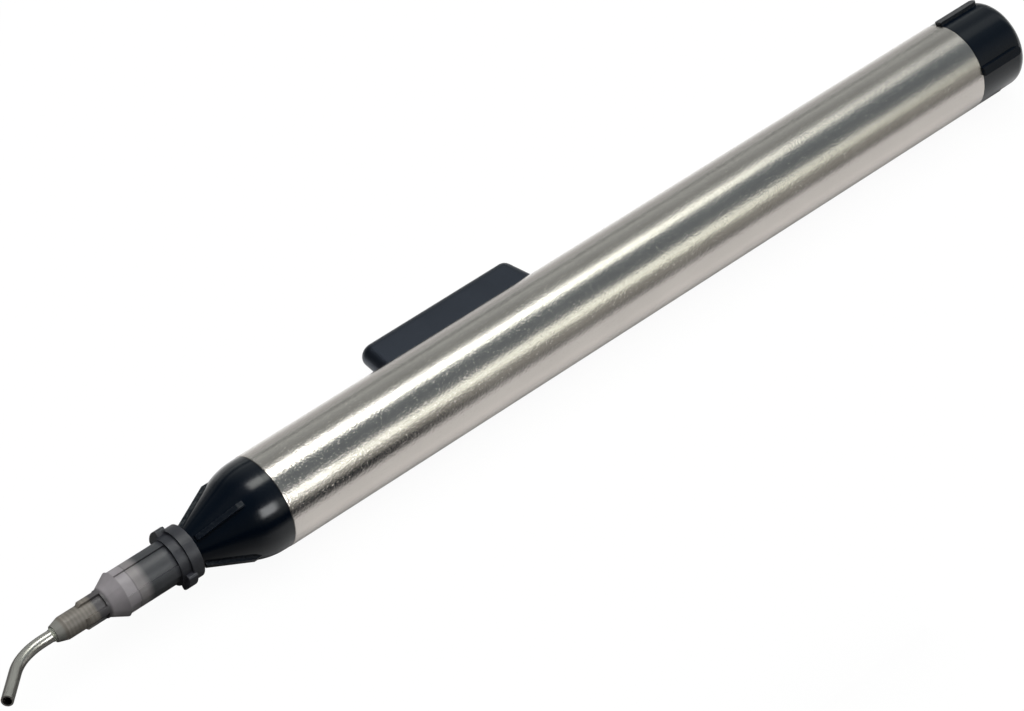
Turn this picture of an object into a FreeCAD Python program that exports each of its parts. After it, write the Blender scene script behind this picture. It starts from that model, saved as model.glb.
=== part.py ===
import FreeCAD, Part
import math
import os
import Sketcher

# Vacuum pick up pen, lying on its side with the axis of the pen along X.
# The origin is the middle of the tip face of the nose's male Luer taper, on the axis.
# +X runs along the axis towards the rear cap, +Z is up, and +Y is the side that the button is on.
# Lengths are millimetres and angles are degrees. Every piece is drawn about its own Z axis,
# which its placement lays along the row's X axis. Turns are counted about the axis,
# from straight up towards the button side.

SIZES = (
    # stainless barrel
    ("barrel_od", 12.0, "outside diameter of the drawn steel tube"),
    ("barrel_wall", 0.5, "wall of the tube"),
    ("barrel_len", 112.8, "length of the tube"),
    ("rim_round", 0.15, "rounding of the tube's two outer rims"),
    ("slot_round", 0.12, "rounding of the slot's outer edge"),
    ("spigot_gap", 0.05, "radial gap of what is pushed into the tube"),
    # nose with the male Luer taper
    ("luer_tip_d", 3.97, "taper diameter at its tip"),
    ("luer_taper", 0.06, "change of diameter for each millimetre of taper"),
    ("luer_chamfer", 0.25, "chamfer at the taper's tip"),
    ("taper_len", 6.0, "taper from its tip to the nose's front face"),
    ("air_bore", 2.0, "air passage through the nose"),
    ("nose_len", 10.7, "nose from its front face to the tube's rim"),
    ("nose_od", 11.9, "nose where it meets the tube"),
    ("nose_land", 0.8, "straight stretch in front of the rim"),
    ("nose_round", 9.0, "radius that turns the nose into its cone"),
    ("nose_cone_angle", 25.5, "half angle of the cone"),
    ("nose_front_d", 4.4, "front face of the nose"),
    ("nose_spigot_len", 7.0, "part of the nose inside the tube"),
    ("fin_count", 4, "fins round the nose"),
    ("fin_width", 0.8, "width of a fin"),
    ("fin_start", 3.9, "rear end of a fin, from the rim"),
    ("fin_level", 1.2, "level stretch over which a fin runs out into the nose"),
    ("fin_end", 10.3, "front end of a fin, from the rim"),
    ("fin_rear_d", 10.6, "diameter over the fins where they start to run out"),
    ("fin_front_d", 5.7, "diameter over the fins at their front"),
    ("fin_turn", 66.8, "turn of the first fin"),
    ("barb_len", 5.0, "nipple that carries the hose"),
    ("barb_groove", 0.3, "depth of the nipple's grooves"),
    ("barb_pitch", 1.2, "spacing of the nipple's grooves"),
    ("barb_count", 3, "grooves round the nipple"),
    # rear cap
    ("cap_od", 11.9, "diameter of the cap's head"),
    ("cap_len", 8.15, "head of the cap behind the tube"),
    ("cap_rear_d", 11.75, "diameter of the head at the start of its rounding"),
    ("cap_round", 1.7, "rounding of the cap's rear edge"),
    ("cap_spigot_len", 7.0, "part of the cap inside the tube"),
    ("cap_wall", 1.2, "wall of the hollow spigot"),
    ("cap_end_wall", 1.8, "end wall of the cap"),
    ("cap_rib_count", 4, "ribs round the cap"),
    ("cap_rib_width", 1.15, "width of a rib"),
    ("cap_rib_len", 6.6, "length of a rib"),
    ("cap_rib_d", 12.8, "diameter over the ribs"),
    ("cap_turn", 28.5, "turn of the first rib"),
    # button
    ("button_turn", 90.0, "turn of the button"),
    ("button_start", 22.8, "front end of the button, from the front rim"),
    ("button_len", 24.4, "button where it leaves the slot"),
    ("button_width", 3.2, "width of the button"),
    ("travel", 2.5, "stroke of the button"),
    ("pressed_stand", 2.1, "how far the pressed button still stands out of the tube"),
    ("button_lean", 1.2, "how far the rear end leans in towards the top"),
    ("button_round", 1.15, "rounding of the top edge"),
    ("slot_gap", 0.2, "gap between button and slot"),
    ("foot_lip", 0.9, "how far the foot reaches under the slot's edge"),
    ("foot_gap", 0.2, "gap between foot and hose at rest"),
    ("foot_round", 0.5, "rounding of the foot's lower edge"),
    ("wall_gap", 0.2, "gap between the inner pieces and the tube's wall"),
    # hose, its cradle and its plug
    ("hose_od", 6.0, "outside diameter of the soft hose"),
    ("hose_id", 4.0, "bore of the hose"),
    ("hose_fit", 0.02, "radial gap between the hose and what it is pushed onto"),
    ("end_gap", 0.1, "gap between pieces that follow each other in the tube"),
    ("cradle_gap", 0.1, "radial gap between cradle and hose"),
    ("collar_len", 4.0, "closed ring at each end of the cradle"),
    ("collar_clear", 2.7, "gap along the tube between the button's foot and the rear ring"),
    ("cradle_span", 180.0, "arc of the cradle behind the hose"),
    ("plug_len", 5.0, "plug inside the hose"),
    ("plug_head_d", 7.6, "head of the plug"),
    ("plug_head_len", 1.5, "thickness of the plug's head"),
    # hub of the tip
    ("mouth_gap", 0.3, "gap between the hub's mouth and the nose"),
    ("luer_fit", 0.02, "radial gap between the two tapers"),
    ("socket_len", 8.3, "depth of the hub's taper socket"),
    ("socket_cone_len", 1.3, "cone behind the socket"),
    ("flange_d", 6.8, "diameter of the hub's flange"),
    ("flange_len", 1.5, "thickness of the flange"),
    ("lug_count", 2, "lugs of the hub"),
    ("lug_d", 7.6, "diameter over the lugs"),
    ("lug_start", 1.25, "rear end of a lug, from the mouth"),
    ("lug_len", 1.2, "length of a lug"),
    ("lug_span", 56.0, "arc of a lug"),
    ("lug_round", 0.3, "rounding of a lug's outer edges"),
    ("collar_d", 6.1, "collar in front of the flange"),
    ("collar_end", 2.8, "front end of the collar, from the mouth"),
    ("hub_d", 5.7, "diameter over the hub's long ribs"),
    ("hub_end", 9.9, "front end of the wide part, from the mouth"),
    ("panel_count", 4, "panels round the hub, and flutes round its stem"),
    ("panel_depth", 0.25, "how far the panels lie below the ribs"),
    ("panel_span", 61.0, "arc of a panel"),
    ("shoulder_end", 11.85, "front end of the shoulder, from the mouth"),
    ("stem_rib_d", 3.6, "diameter over the stem's ribs"),
    ("stem_rib_end", 15.0, "front end of the stem's ribs, from the mouth"),
    ("stem_d", 2.9, "diameter of the plain stem"),
    ("stem_end", 17.3, "front end of the plain stem, from the mouth"),
    ("hub_len", 18.6, "hub from its mouth to its front end"),
    ("hub_tip_d", 2.1, "front face of the hub"),
    ("glue_well_d", 1.8, "recess that holds the adhesive"),
    ("glue_well_len", 1.5, "depth of the recess"),
    ("glue_collar_len", 0.4, "adhesive that stands proud of the hub"),
    # bent needle
    ("needle_od", 1.47, "outside diameter of the needle tube"),
    ("needle_id", 1.07, "bore of the needle tube"),
    ("needle_fit", 0.02, "radial gap between needle and hub"),
    ("needle_rear", 9.9, "rear end of the needle, from the hub's mouth"),
    ("bend_start", 20.1, "start of the bend, from the hub's mouth"),
    ("bend_radius", 6.9, "radius of the bend's centre line"),
    ("bend_angle", 48.0, "turn of the bend"),
    ("needle_end_len", 5.3, "straight end of the needle"),
    ("needle_turn", -69.0, "turn that the needle bends towards"),
)

doc = FreeCAD.newDocument("vacuum_pick_up_pen")
sheet = doc.addObject("Spreadsheet::Sheet", "sizes")
for row, (alias, value, note) in enumerate(SIZES, start=1):
    sheet.set("A%d" % row, alias.replace("_", " "))
    sheet.set("B%d" % row, str(value))
    sheet.setAlias("B%d" % row, alias)
    sheet.set("C%d" % row, note)
doc.recompute()

# Places and radii that more than one piece uses, as words over the sheet's sizes.
RIM = "(sizes.taper_len + sizes.nose_len)"
BORE_R = "(sizes.barrel_od / 2 - sizes.barrel_wall)"
SPIGOT_R = "(%s - sizes.spigot_gap)" % BORE_R
INNER_R = "(%s - sizes.wall_gap)" % BORE_R
MOUTH = "(sizes.taper_len - sizes.mouth_gap)"
INNER_START = "(%s + sizes.nose_spigot_len + sizes.end_gap)" % RIM
FOOT_REAR = "(sizes.button_start + sizes.button_len + sizes.foot_lip)"
INNER_LEN = "(%s + sizes.collar_clear + sizes.collar_len - sizes.nose_spigot_len - sizes.end_gap)" % FOOT_REAR
NIPPLE_R = "(sizes.hose_id / 2 - sizes.hose_fit)"
FOOT_UNDER = "(sizes.hose_od / 2 + sizes.foot_gap)"
NEEDLE_HOLE_R = "(sizes.needle_od / 2 + sizes.needle_fit)"
BUTTON_TOP = "(sizes.barrel_od / 2 + sizes.travel + sizes.pressed_stand)"

# Lengths and volumes smaller than this count as nothing.
NOTHING = 1e-4


def measure(words):
    """Return the value of an expression over the sheet's sizes."""
    result = sheet.evalExpression(words)
    return float(getattr(result, "Value", result))


def new_body(name):
    """Start a piece whose label is also its node name."""
    body = doc.addObject("PartDesign::Body", name)
    body.Label = name
    return body


def datum(body, role):
    """Return an origin plane or axis of a piece by its role."""
    return next(item for item in body.Origin.OriginFeatures if item.Role == role)


def new_sketch(body, name, role, offset=None):
    """Attach a sketch to an origin plane of its own piece, moved along the plane's normal."""
    sketch = body.newObject("Sketcher::SketchObject", name)
    sketch.AttachmentSupport = [(datum(body, role), "")]
    sketch.MapMode = "FlatFace"
    if offset:
        sketch.setExpression("AttachmentOffset.Base.z", offset)
    return sketch


def bind(sketch, constraint, words):
    """Add a constraint that follows the sheet."""
    index = sketch.addConstraint(constraint)
    sketch.setExpression("Constraints[%d]" % index, words)


def pin_point(sketch, line, end, across, up):
    """Tie one end of a line or arc to its two coordinates."""
    for words, kind, axis in ((across, "DistanceX", -2), (up, "DistanceY", -1)):
        value = measure(words)
        if abs(value) < NOTHING:
            sketch.addConstraint(Sketcher.Constraint("PointOnObject", line, end, axis))
        else:
            bind(sketch, Sketcher.Constraint(kind, -1, 1, line, end, value), words)


def circle(sketch, radius):
    """Draw a circle about the sketch's origin."""
    shape = Part.Circle(FreeCAD.Vector(), FreeCAD.Vector(0, 0, 1), measure(radius))
    line = sketch.addGeometry(shape, False)
    sketch.addConstraint(Sketcher.Constraint("Coincident", line, 3, -1, 1))
    bind(sketch, Sketcher.Constraint("Radius", line, measure(radius)), radius)


def arc_between(start, end, radius):
    """Return an arc and the number of its end that is the finish; a positive radius turns left."""
    chord = end - start
    middle = (start + end) * 0.5
    left = FreeCAD.Vector(-chord.y, chord.x, 0)
    left.normalize()
    rise = math.sqrt(max(radius * radius - (chord.Length / 2) ** 2, 0.0))
    centre = middle + left * math.copysign(rise, radius)
    begin = math.atan2(start.y - centre.y, start.x - centre.x)
    finish = math.atan2(end.y - centre.y, end.x - centre.x)
    ring = Part.Circle(centre, FreeCAD.Vector(0, 0, 1), abs(radius))
    if radius > 0:
        return Part.ArcOfCircle(ring, begin, finish), 2
    return Part.ArcOfCircle(ring, finish, begin), 1


def path(sketch, steps, closed=True):
    """Draw lines and arcs through named points; a step is (across, up) or (across, up, radius).

    A radius makes the stretch that ends at the step an arc, which turns left when it is positive.
    """
    points = [FreeCAD.Vector(measure(step[0]), measure(step[1]), 0) for step in steps]
    previous = None
    first = None
    for number in range(0 if closed else 1, len(steps)):
        step = steps[number]
        start = points[number - 1]
        if len(step) == 3:
            shape, end = arc_between(start, points[number], measure(step[2]))
        else:
            shape, end = Part.LineSegment(start, points[number]), 2
        line = sketch.addGeometry(shape, False)
        if previous:
            sketch.addConstraint(Sketcher.Constraint("Coincident", previous[0], previous[1], line, 3 - end))
        else:
            first = (line, 3 - end)
        pin_point(sketch, line, end, step[0], step[1])
        if len(step) == 3:
            bind(sketch, Sketcher.Constraint("Radius", line, abs(measure(step[2]))), "abs(%s)" % step[2])
        previous = (line, end)
    if closed:
        sketch.addConstraint(Sketcher.Constraint("Coincident", previous[0], previous[1], first[0], first[1]))
    else:
        pin_point(sketch, first[0], first[1], steps[0][0], steps[0][1])


def stadium(sketch, length, width, front="0"):
    """Draw a slot shape along the second axis, from front to front plus length."""
    half = "(%s) / 2" % width
    low = "(%s) + %s" % (front, half)
    high = "(%s) + (%s) - %s" % (front, length, half)
    turn = half
    minus = "-(%s)" % half
    path(sketch, (
        (half, low, turn),
        (half, high),
        ("0", "%s + %s" % (high, half), turn),
        (minus, high, turn),
        (minus, low),
        ("0", "%s - %s" % (low, half), turn),
    ))


def spun(body, name, sketch, kind="Revolution", angle=None):
    """Spin a profile about the piece's own axis, all round or over an arc centred on its plane."""
    item = body.newObject("PartDesign::" + kind, name)
    item.Profile = sketch
    item.ReferenceAxis = (datum(body, "Z_Axis"), [""])
    item.Angle = 360
    if angle:
        item.Midplane = True
        item.setExpression("Angle", angle)
    return item


def repeated(body, name, original, count):
    """Repeat a feature round the piece's axis and make the pattern the finished piece."""
    pattern = body.newObject("PartDesign::PolarPattern", name)
    pattern.Originals = [original]
    pattern.Axis = (datum(body, "Z_Axis"), [""])
    pattern.Angle = 360
    pattern.setExpression("Occurrences", count)
    body.Tip = pattern
    return pattern


def edges_of(shape, wanted):
    """Return the names of the edges for which a test holds."""
    return ["Edge%d" % (i + 1) for i, edge in enumerate(shape.Edges) if wanted(edge)]


def rounded(body, name, wanted, radius):
    """Round the edges of the piece so far for which a test holds."""
    doc.recompute()
    base = body.Tip
    item = body.newObject("PartDesign::Fillet", name)
    item.Base = (base, edges_of(base.Shape, wanted))
    item.setExpression("Radius", radius)
    return item


def cut_check(body, action):
    """Run an action that must take material away, and stop if it takes none."""
    doc.recompute()
    before = body.Shape.Volume
    action()
    doc.recompute()
    if body.Shape.Volume > before - NOTHING:
        raise RuntimeError(body.Label + ": a cut takes nothing away")


def place(body, along, turn):
    """Lay a piece along X at a distance from the origin and turn it about the axis."""
    angle = math.radians(measure(turn))
    outwards = FreeCAD.Vector(0, math.sin(angle), math.cos(angle))
    side = FreeCAD.Vector(0, -math.cos(angle), math.sin(angle))
    turned = FreeCAD.Rotation(outwards, side, FreeCAD.Vector(1, 0, 0), "ZXY")
    body.Placement = FreeCAD.Placement(FreeCAD.Vector(), turned)
    body.setExpression("Placement.Base.x", along)


def make_barrel():
    """Drawn tube with the slot that the button stands in."""
    body = new_body("barrel")
    section = new_sketch(body, "BarrelSection", "XY_Plane")
    circle(section, "sizes.barrel_od / 2")
    circle(section, BORE_R)
    tube = body.newObject("PartDesign::Pad", "BarrelTube")
    tube.Profile = section
    tube.setExpression("Length", "sizes.barrel_len")

    def slot():
        outline = new_sketch(body, "SlotOutline", "YZ_Plane")
        stadium(outline, "sizes.button_len + 2 * sizes.slot_gap",
                "sizes.button_width + 2 * sizes.slot_gap",
                "sizes.button_start - sizes.slot_gap")
        pocket = body.newObject("PartDesign::Pocket", "ButtonSlot")
        pocket.Profile = outline
        pocket.Reversed = True
        pocket.setExpression("Length", "sizes.barrel_od")

    cut_check(body, slot)
    outer = measure("sizes.barrel_od / 2")
    length = measure("sizes.barrel_len")

    def is_rim(edge):
        box = edge.BoundBox
        at_end = box.ZLength < NOTHING and min(abs(box.ZMin), abs(box.ZMin - length)) < NOTHING
        return at_end and box.XLength > 2 * outer - NOTHING

    rounded(body, "RimRounding", is_rim, "sizes.rim_round")
    half_slot = measure("sizes.button_width / 2 + sizes.slot_gap")

    def is_slot_edge(edge):
        box = edge.BoundBox
        corner = edge.Vertexes[0]
        within = max(abs(box.YMin), abs(box.YMax)) < half_slot + NOTHING
        return within and math.hypot(corner.X, corner.Y) > outer - NOTHING

    rounded(body, "SlotRounding", is_slot_edge, "sizes.slot_round")
    place(body, RIM, "sizes.button_turn")
    return body


def make_nose():
    """Moulded nose: male Luer taper, finned cone, spigot in the tube and hose nipple."""
    body = new_body("nose_cone")
    tip_r = "sizes.luer_tip_d / 2"
    root_r = "%s + sizes.luer_taper / 2 * sizes.taper_len" % tip_r
    bore_r = "sizes.air_bore / 2"
    turn_r = "sizes.nose_od / 2 - sizes.nose_round * (1 - cos(sizes.nose_cone_angle))"
    turn_z = "%s - sizes.nose_land - sizes.nose_round * sin(sizes.nose_cone_angle)" % RIM
    spigot_end = "%s + sizes.nose_spigot_len" % RIM
    steps = [
        (bore_r, "0"),
        ("%s - sizes.luer_chamfer" % tip_r, "0"),
        ("%s + sizes.luer_taper / 2 * sizes.luer_chamfer" % tip_r, "sizes.luer_chamfer"),
        (root_r, "sizes.taper_len"),
        ("sizes.nose_front_d / 2", "sizes.taper_len"),
        (turn_r, turn_z),
        ("sizes.nose_od / 2", "%s - sizes.nose_land" % RIM, "sizes.nose_round"),
        ("sizes.nose_od / 2", RIM),
        (SPIGOT_R, RIM),
        (SPIGOT_R, spigot_end),
        (NIPPLE_R, spigot_end),
    ]
    grooves = int(measure("sizes.barb_count"))
    for number in range(grooves):
        low = "%s + sizes.barb_len - (%d + 0.5) * sizes.barb_pitch" % (spigot_end, grooves - number)
        steps.append((NIPPLE_R, low))
        steps.append(("%s - sizes.barb_groove" % NIPPLE_R, low))
    steps.append((NIPPLE_R, "%s + sizes.barb_len - sizes.barb_pitch / 2" % spigot_end))
    steps.append(("%s - sizes.barb_groove" % NIPPLE_R, "%s + sizes.barb_len" % spigot_end))
    steps.append((bore_r, "%s + sizes.barb_len" % spigot_end))
    profile = new_sketch(body, "NoseProfile", "XZ_Plane")
    path(profile, steps)
    spun(body, "NoseTurning", profile)

    fin = new_sketch(body, "FinOutline", "XZ_Plane")
    fin_low = "%s - sizes.fin_end" % RIM
    fin_high = "%s - sizes.fin_start" % RIM
    inside = "(sizes.nose_front_d / 2 + %s) / 2" % bore_r
    path(fin, (
        (inside, fin_low),
        ("sizes.fin_front_d / 2", fin_low),
        ("sizes.fin_rear_d / 2", "%s - sizes.fin_level" % fin_high),
        ("sizes.fin_rear_d / 2", fin_high),
        (inside, fin_high),
    ))
    web = body.newObject("PartDesign::Pad", "Fin")
    web.Profile = fin
    web.Midplane = True
    web.setExpression("Length", "sizes.fin_width")
    repeated(body, "Fins", web, "sizes.fin_count")
    place(body, "0", "sizes.fin_turn")
    return body


def make_cap():
    """Moulded end cap: ribbed head behind the tube and hollow spigot inside it."""
    body = new_body("rear_cap")
    hollow = "%s - sizes.cap_wall" % SPIGOT_R
    hollow_end = "sizes.cap_len - sizes.cap_end_wall"
    profile = new_sketch(body, "CapProfile", "XZ_Plane")
    path(profile, (
        ("0", hollow_end),
        (hollow, hollow_end),
        (hollow, "-sizes.cap_spigot_len"),
        (SPIGOT_R, "-sizes.cap_spigot_len"),
        (SPIGOT_R, "0"),
        ("sizes.cap_od / 2", "0"),
        ("sizes.cap_rear_d / 2", "sizes.cap_len - sizes.cap_round"),
        ("sizes.cap_rear_d / 2 - sizes.cap_round", "sizes.cap_len", "sizes.cap_round"),
        ("0", "sizes.cap_len"),
    ))
    spun(body, "CapTurning", profile)

    root = "sizes.cap_od / 2 - sizes.cap_wall / 2"
    outline = new_sketch(body, "CapRibOutline", "YZ_Plane", root)
    half = "sizes.cap_rib_width / 2"
    end = "sizes.cap_rib_len - %s" % half
    path(outline, (("-(%s)" % half, "0"), (half, "0"), (half, end),
                   ("0", "sizes.cap_rib_len", half), ("-(%s)" % half, end, half)))
    rib = body.newObject("PartDesign::Pad", "CapRib")
    rib.Profile = outline
    rib.setExpression("Length", "sizes.cap_rib_d / 2 - (%s)" % root)
    repeated(body, "CapRibs", rib, "sizes.cap_rib_count")
    place(body, "%s + sizes.barrel_len" % RIM, "sizes.cap_turn")
    return body


def make_button():
    """Moulded button: foot under the slot's edges, body through the slot, leaning rear end."""
    body = new_body("button")
    foot = new_sketch(body, "FootOutline", "YZ_Plane", FOOT_UNDER)
    stadium(foot, "sizes.button_len + 2 * sizes.foot_lip",
            "sizes.button_width + 2 * sizes.foot_lip", "-sizes.foot_lip")
    slab = body.newObject("PartDesign::Pad", "Foot")
    slab.Profile = foot
    slab.setExpression("Length", "%s - %s" % (INNER_R, FOOT_UNDER))

    def crown():
        ring = new_sketch(body, "FootCrownProfile", "XZ_Plane")
        low = "-sizes.button_width"
        high = "sizes.button_len + sizes.button_width"
        path(ring, ((INNER_R, low), ("sizes.barrel_od", low), ("sizes.barrel_od", high), (INNER_R, high)))
        spun(body, "FootCrown", ring, "Groove")

    cut_check(body, crown)
    neck = new_sketch(body, "NeckOutline", "YZ_Plane", FOOT_UNDER)
    stadium(neck, "sizes.button_len", "sizes.button_width")
    stem = body.newObject("PartDesign::Pad", "Neck")
    stem.Profile = neck
    stem.setExpression("Length", "sizes.barrel_od / 2 - %s" % FOOT_UNDER)
    bottom = new_sketch(body, "PadBottomOutline", "YZ_Plane", "sizes.barrel_od / 2")
    stadium(bottom, "sizes.button_len", "sizes.button_width")
    top = new_sketch(body, "PadTopOutline", "YZ_Plane", BUTTON_TOP)
    stadium(top, "sizes.button_len - sizes.button_lean", "sizes.button_width")
    loft = body.newObject("PartDesign::AdditiveLoft", "FingerPad")
    loft.Profile = bottom
    loft.Sections = [top]

    height = measure(BUTTON_TOP)
    rounded(body, "TopRounding", lambda edge: edge.BoundBox.XMin > height - NOTHING, "sizes.button_round")
    under = measure(FOOT_UNDER)
    rounded(body, "FootRounding", lambda edge: edge.BoundBox.XMax < under + NOTHING, "sizes.foot_round")
    place(body, "%s + sizes.button_start" % RIM, "sizes.button_turn")
    return body


def make_hose():
    """Soft hose that the button squeezes."""
    body = new_body("suction_hose")
    section = new_sketch(body, "HoseSection", "XY_Plane")
    circle(section, "sizes.hose_od / 2")
    circle(section, "sizes.hose_id / 2")
    tube = body.newObject("PartDesign::Pad", "HoseTube")
    tube.Profile = section
    tube.setExpression("Length", INNER_LEN)
    place(body, INNER_START, "sizes.button_turn")
    return body


def make_plug():
    """Moulded plug that closes the rear end of the hose."""
    body = new_body("hose_plug")
    profile = new_sketch(body, "PlugProfile", "XZ_Plane")
    path(profile, (
        ("0", "-sizes.plug_len"),
        ("%s - sizes.barb_groove" % NIPPLE_R, "-sizes.plug_len"),
        (NIPPLE_R, "-sizes.plug_len + sizes.barb_pitch"),
        (NIPPLE_R, "0"),
        ("sizes.plug_head_d / 2", "0"),
        ("sizes.plug_head_d / 2", "sizes.plug_head_len"),
        ("0", "sizes.plug_head_len"),
    ))
    spun(body, "PlugTurning", profile)
    place(body, "%s + %s + sizes.end_gap" % (INNER_START, INNER_LEN), "0")
    return body


def make_cradle():
    """Moulded half pipe that backs the hose, with a closed collar at each end."""
    body = new_body("hose_cradle")
    inner = "sizes.hose_od / 2 + sizes.cradle_gap"
    trough = new_sketch(body, "TroughProfile", "XZ_Plane")
    path(trough, (
        ("-(%s)" % inner, "0"),
        ("-(%s)" % inner, INNER_LEN),
        ("-(%s)" % INNER_R, INNER_LEN),
        ("-(%s)" % INNER_R, "0"),
    ))
    spun(body, "Trough", trough, angle="sizes.cradle_span")
    for name, low, high in (("Front", "0", "sizes.collar_len"),
                            ("Rear", "%s - sizes.collar_len" % INNER_LEN, INNER_LEN)):
        ring = new_sketch(body, name + "CollarProfile", "XZ_Plane")
        path(ring, ((inner, low), (INNER_R, low), (INNER_R, high), (inner, high)))
        spun(body, name + "Collar", ring)
    place(body, INNER_START, "sizes.button_turn")
    return body


def make_hub():
    """Moulded translucent hub: Luer socket, flange with lugs, panelled body, ribbed stem."""
    body = new_body("needle_hub")
    mouth_r = "sizes.luer_tip_d / 2 + sizes.luer_taper / 2 * %s + sizes.luer_fit" % MOUTH
    socket_r = "%s - sizes.luer_taper / 2 * sizes.socket_len" % mouth_r
    cone_end = "-(sizes.socket_len + sizes.socket_cone_len)"
    well = "-(sizes.hub_len - sizes.glue_well_len)"
    profile = new_sketch(body, "HubProfile", "XZ_Plane")
    path(profile, (
        (mouth_r, "0"),
        (socket_r, "-sizes.socket_len"),
        (NEEDLE_HOLE_R, cone_end),
        (NEEDLE_HOLE_R, well),
        ("sizes.glue_well_d / 2", well),
        ("sizes.glue_well_d / 2", "-sizes.hub_len"),
        ("sizes.hub_tip_d / 2", "-sizes.hub_len"),
        ("sizes.stem_d / 2", "-sizes.stem_end"),
        ("sizes.stem_d / 2", "-sizes.stem_rib_end"),
        ("sizes.stem_rib_d / 2", "-sizes.stem_rib_end + (sizes.stem_rib_d - sizes.stem_d) / 2"),
        ("sizes.stem_rib_d / 2", "-sizes.shoulder_end"),
        ("sizes.hub_d / 2", "-sizes.hub_end"),
        ("sizes.hub_d / 2", "-sizes.collar_end"),
        ("sizes.collar_d / 2", "-sizes.collar_end"),
        ("sizes.collar_d / 2", "-sizes.flange_len"),
        ("sizes.flange_d / 2", "-sizes.flange_len"),
        ("sizes.flange_d / 2", "0"),
    ))
    spun(body, "HubTurning", profile)

    lug = new_sketch(body, "LugProfile", "YZ_Plane")
    lug_low = "-(sizes.lug_start + sizes.lug_len)"
    lug_root = "(sizes.collar_d / 2 + %s) / 2" % mouth_r
    path(lug, ((lug_root, lug_low), ("sizes.lug_d / 2", lug_low),
               ("sizes.lug_d / 2", "-sizes.lug_start"), (lug_root, "-sizes.lug_start")))
    ear = spun(body, "Lug", lug, angle="sizes.lug_span")
    repeated(body, "Lugs", ear, "sizes.lug_count")
    lug_r = measure("sizes.lug_d / 2")

    def is_lug_edge(edge):
        outside = all(math.hypot(corner.X, corner.Y) > lug_r - NOTHING for corner in edge.Vertexes)
        return outside and edge.BoundBox.ZLength > NOTHING

    rounded(body, "LugRounding", is_lug_edge, "sizes.lug_round")

    def panels():
        panel = new_sketch(body, "PanelProfile", "XZ_Plane")
        depth = "sizes.hub_d / 2 - sizes.panel_depth"
        path(panel, ((depth, "-sizes.hub_end"), ("sizes.flange_d", "-sizes.hub_end"),
                     ("sizes.flange_d", "-sizes.collar_end"), (depth, "-sizes.collar_end")))
        recess = spun(body, "Panel", panel, "Groove", angle="sizes.panel_span")
        repeated(body, "Panels", recess, "sizes.panel_count")

    cut_check(body, panels)

    def stem_flutes():
        flute = new_sketch(body, "FluteProfile", "XZ_Plane")
        low = "-(sizes.stem_rib_end + sizes.panel_depth)"
        high = "-(sizes.shoulder_end + sizes.panel_depth)"
        path(flute, (("sizes.stem_d / 2", low), ("sizes.hub_d", low),
                     ("sizes.hub_d", high), ("sizes.stem_d / 2", high)))
        recess = spun(body, "Flute", flute, "Groove", angle="sizes.panel_span")
        repeated(body, "Flutes", recess, "sizes.panel_count")

    cut_check(body, stem_flutes)
    place(body, MOUTH, "sizes.needle_turn + 180 / sizes.panel_count")
    return body


def make_needle():
    """Thin steel tube with one bend near its tip."""
    body = new_body("needle_tube")
    start = "-sizes.needle_rear"
    route = new_sketch(body, "NeedleRoute", "XZ_Plane")
    bend_x = "sizes.bend_radius * (1 - cos(sizes.bend_angle))"
    bend_z = "-(sizes.bend_start + sizes.bend_radius * sin(sizes.bend_angle))"
    tip_x = "%s + sizes.needle_end_len * sin(sizes.bend_angle)" % bend_x
    tip_z = "%s - sizes.needle_end_len * cos(sizes.bend_angle)" % bend_z
    path(route, (("0", start), ("0", "-sizes.bend_start"),
                 (bend_x, bend_z, "sizes.bend_radius"), (tip_x, tip_z)), closed=False)
    section = new_sketch(body, "NeedleSection", "XY_Plane", start)
    circle(section, "sizes.needle_od / 2")
    circle(section, "sizes.needle_id / 2")
    doc.recompute()
    tube = body.newObject("PartDesign::AdditivePipe", "NeedleSweep")
    tube.Profile = section
    tube.Spine = (route, ["Edge1", "Edge2", "Edge3"])
    place(body, MOUTH, "sizes.needle_turn")
    return body


def make_adhesive():
    """Ring of clear adhesive that bonds the needle in the hub's front end."""
    body = new_body("needle_adhesive")
    inner = NEEDLE_HOLE_R
    outer = "sizes.glue_well_d / 2 - sizes.needle_fit"
    back = "-(sizes.hub_len - sizes.glue_well_len) - sizes.needle_fit"
    profile = new_sketch(body, "AdhesiveProfile", "XZ_Plane")
    path(profile, (
        (inner, back),
        (inner, "-(sizes.hub_len + sizes.glue_collar_len)"),
        (outer, "-sizes.hub_len"),
        (outer, back),
    ))
    spun(body, "AdhesiveRing", profile)
    place(body, MOUTH, "0")
    return body


pieces = [
    make_barrel(),
    make_nose(),
    make_cap(),
    make_button(),
    make_hose(),
    make_plug(),
    make_cradle(),
    make_hub(),
    make_needle(),
    make_adhesive(),
]
doc.recompute()

for item in doc.Objects:
    if "Invalid" in item.State or "Error" in item.State:
        raise RuntimeError("%s failed: %s" % (item.Name, item.State))
for piece in pieces:
    if piece.Shape.isNull() or not piece.Shape.isValid() or not piece.Shape.Solids:
        raise RuntimeError(piece.Label + " has no sound solid")

os.makedirs("parts", exist_ok=True)
for piece in pieces:
    piece.Shape.exportStep("parts/%s.step" % piece.Label)
    print("%-16s solids %d volume %.2f" % (piece.Label, len(piece.Shape.Solids), piece.Shape.Volume))
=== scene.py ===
import math

import bpy
from mathutils import Matrix, Vector


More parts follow.
